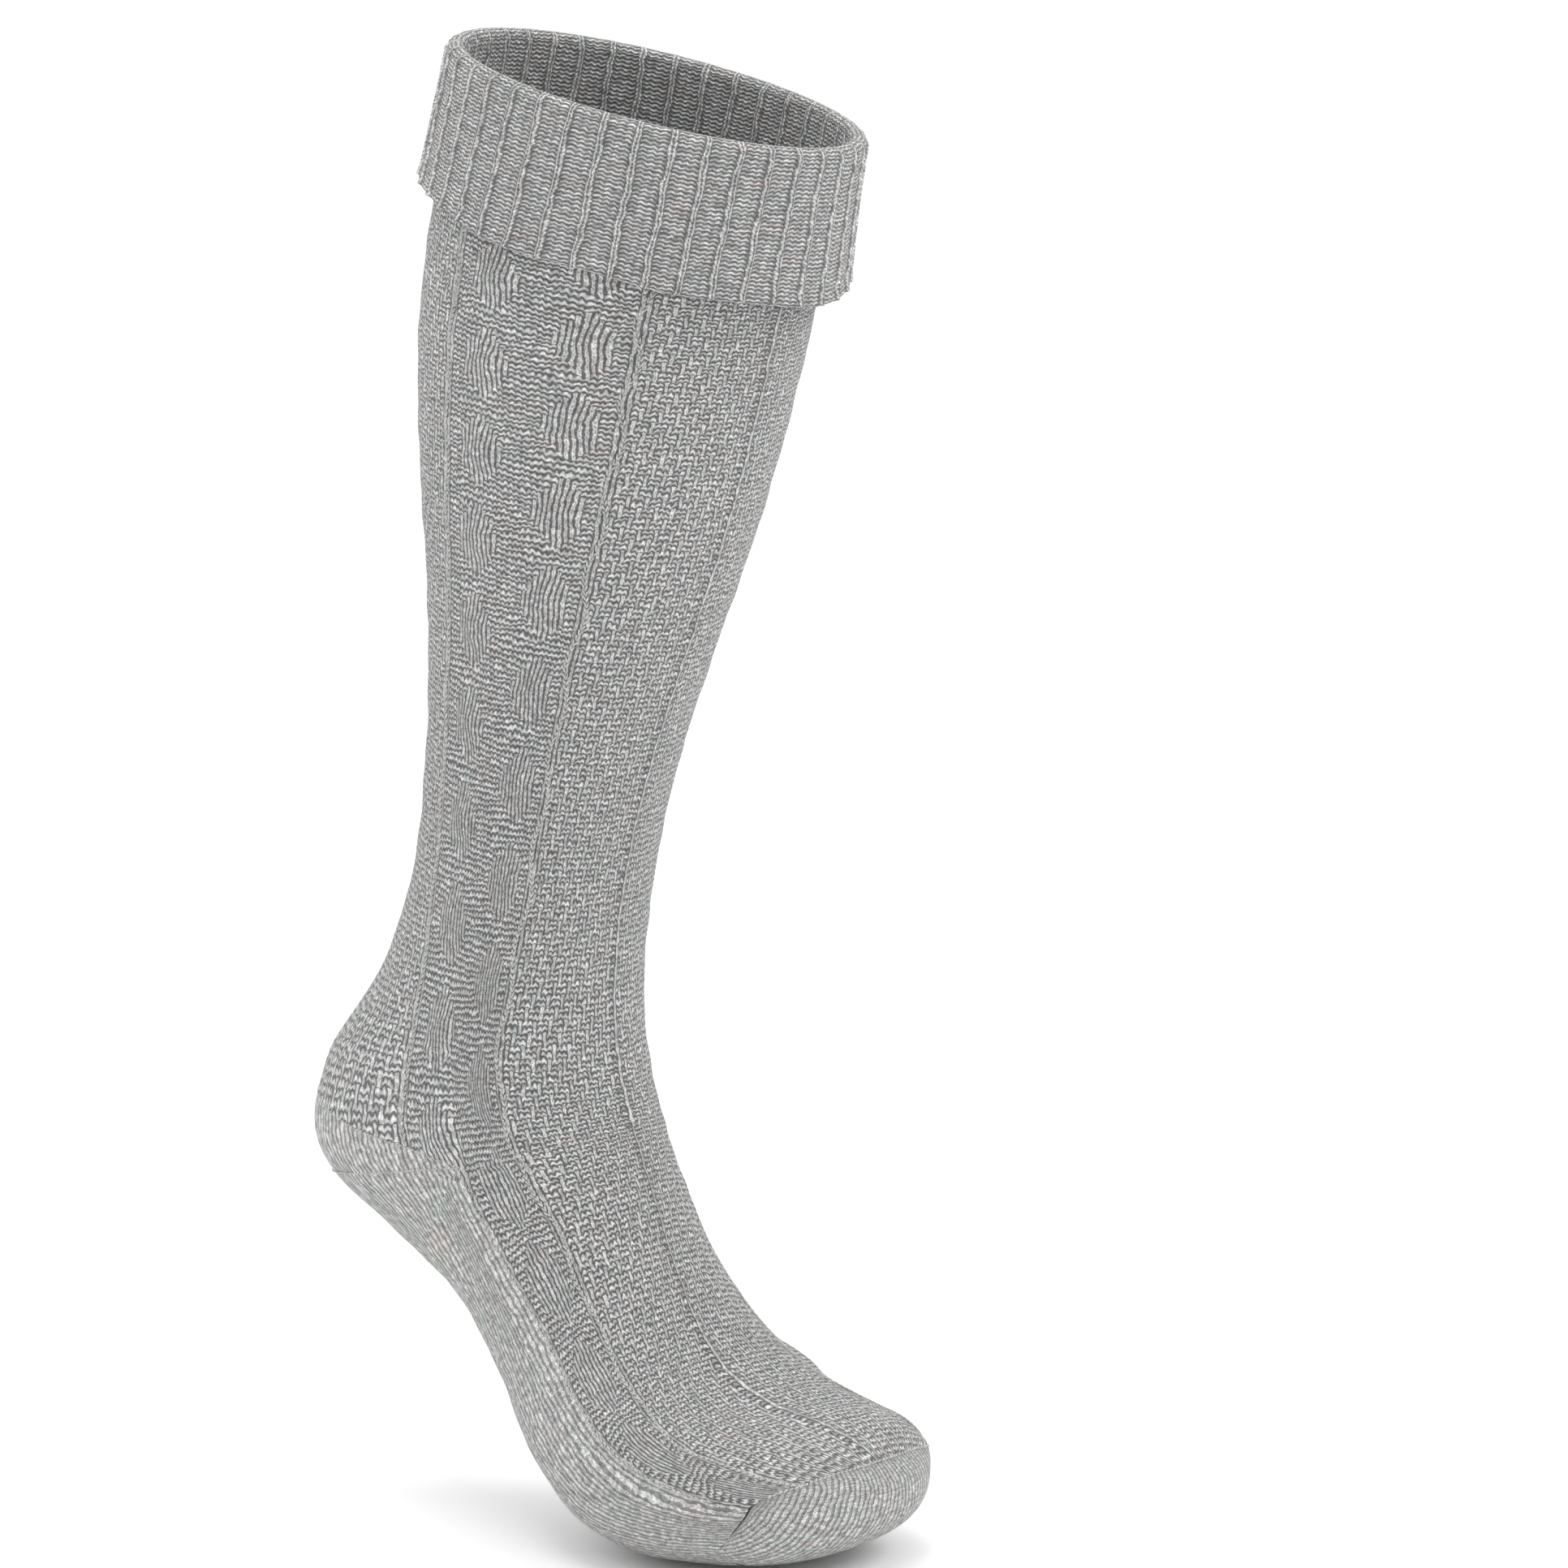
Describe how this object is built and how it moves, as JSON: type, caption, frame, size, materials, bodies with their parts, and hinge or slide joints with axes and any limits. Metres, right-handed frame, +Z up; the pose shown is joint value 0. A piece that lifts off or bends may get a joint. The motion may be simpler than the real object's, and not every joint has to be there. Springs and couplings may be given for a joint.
{
  "type": "knee sock",
  "caption": "Grey wool knee sock with a turned-down ribbed cuff and lozenge-patterned leg, keeping the form it has when worn on tiptoe.",
  "frame": {"origin": "middle of the rim at the top of the leg, where the leg goes in", "axes": "+Z up, toes toward -Y, +X to the wearer's left; the left and right halves mirror each other across X"},
  "size_m": [0.1449, 0.2445, 0.5068],
  "materials": {
    "cuff_wool": "rough, heathered wool knit",
    "leg_wool": "rough, heathered wool knit",
    "heel_wool": "rough, heathered wool knit",
    "foot_wool": "rough, heathered wool knit",
    "toe_wool": "rough, heathered wool knit"
  },
  "bodies": {
    "root": {"cuff": "cuff_wool", "leg": "leg_wool", "heel": "heel_wool", "foot": "foot_wool", "toe": "toe_wool"}
  },
  "joints": []
}
